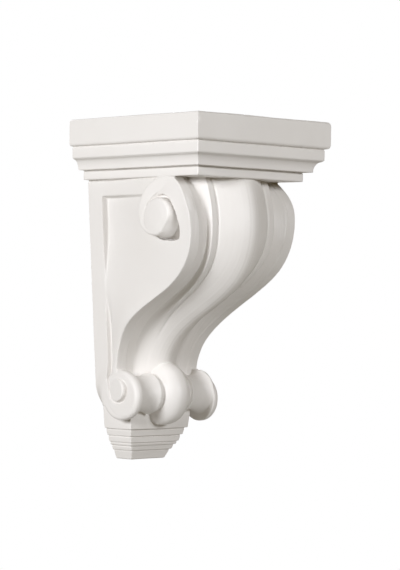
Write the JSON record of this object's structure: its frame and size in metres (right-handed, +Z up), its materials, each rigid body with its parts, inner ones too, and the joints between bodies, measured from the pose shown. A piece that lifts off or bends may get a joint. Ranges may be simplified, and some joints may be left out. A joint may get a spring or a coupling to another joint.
{
  "type": "wall corbel",
  "caption": "Moulded wall corbel: square stepped cap on a scrolled S-bracket with a swelling front, a turned bolster at the foot and a stepped drop.",
  "frame": {"origin": "on the flat back against the wall, on the middle line, half way up", "axes": "+Z up, +Y into the wall, the carved front faces -Y, X along the wall"},
  "size_m": [0.164, 0.166, 0.305],
  "materials": {
    "primed_casting": "off-white factory primer on rigid foam, matte to satin"
  },
  "bodies": {
    "root": {"corbel": "primed_casting"}
  },
  "joints": []
}
